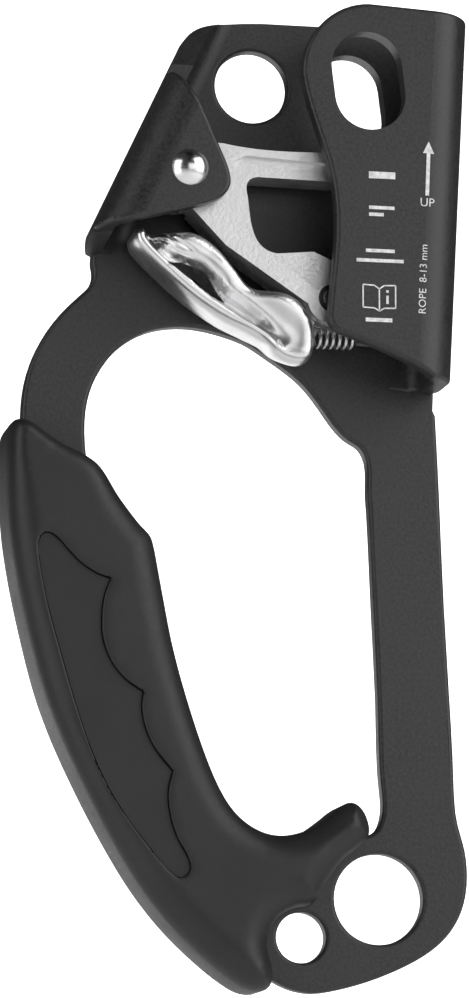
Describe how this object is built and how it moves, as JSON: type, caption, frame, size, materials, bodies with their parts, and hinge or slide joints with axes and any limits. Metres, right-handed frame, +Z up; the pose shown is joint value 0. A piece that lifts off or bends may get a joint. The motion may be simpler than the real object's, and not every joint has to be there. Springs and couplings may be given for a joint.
{
  "type": "handled rope ascender",
  "caption": "Handled rope clamp: folded sheet frame with rubber grip, toothed spring cam in a rope channel, and a pull-down safety trigger.",
  "frame": {"origin": "centre of the large lower eye in the back plate's mid-plane", "axes": "+X to the right seen from the front, +Z up along the handle, the front faces -Y"},
  "size_m": [0.0938, 0.0329, 0.1968],
  "materials": {
    "black_anodised": "satin black anodised aluminium sheet",
    "black_rubber": "smooth matt moulded rubber",
    "inlay_rubber": "smooth matt moulded rubber",
    "rivet_steel": "satin stainless steel",
    "spring_steel": "drawn spring wire",
    "cast_steel": "cast and tumbled steel",
    "dark_steel": "blackened steel",
    "polished_metal": "polished casting"
  },
  "bodies": {
    "frame": {"frame": "black_anodised", "grip": "black_rubber", "grip_inlay_front": "inlay_rubber", "grip_inlay_rear": "inlay_rubber", "cam_rivet": "rivet_steel", "cam_rivet_washer": "rivet_steel", "cam_bushing": "rivet_steel", "cam_spacer": "rivet_steel", "cam_spring": "spring_steel"},
    "cam": {"cam": "cast_steel", "trigger_sleeve": "dark_steel"},
    "trigger_pin": {"trigger_rivet": "rivet_steel", "trigger_spring": "spring_steel"},
    "trigger": {"trigger": "polished_metal"}
  },
  "joints": [
    {"name": "cam_open", "type": "hinge", "parent": "frame", "child": "cam", "pos_m": [-0.0415, 0, 0.1425], "axis": [0, 1, 0], "range_deg": [0, 50], "stiffness_Nm_per_rad": 0.06, "springref_deg": -45.84, "deforming": ["cam_spring"]},
    {"name": "trigger_pull", "type": "hinge", "parent": "cam", "child": "trigger_pin", "pos_m": [-0.0115, 0, 0.1185], "axis": [0, -1, 0], "range_deg": [0, 12], "stiffness_Nm_per_rad": 0.03, "springref_deg": -34.38, "deforming": ["trigger_spring"]},
    {"name": "trigger_release", "type": "hinge", "parent": "trigger_pin", "child": "trigger", "pos_m": [-0.0115, 0, 0.1185], "axis": [0, -1, 0], "range_deg": [0, 38]}
  ],
  "couplings": [
    {"joint": "trigger_release", "follows": "cam_open", "ratio": 0.76}
  ]
}
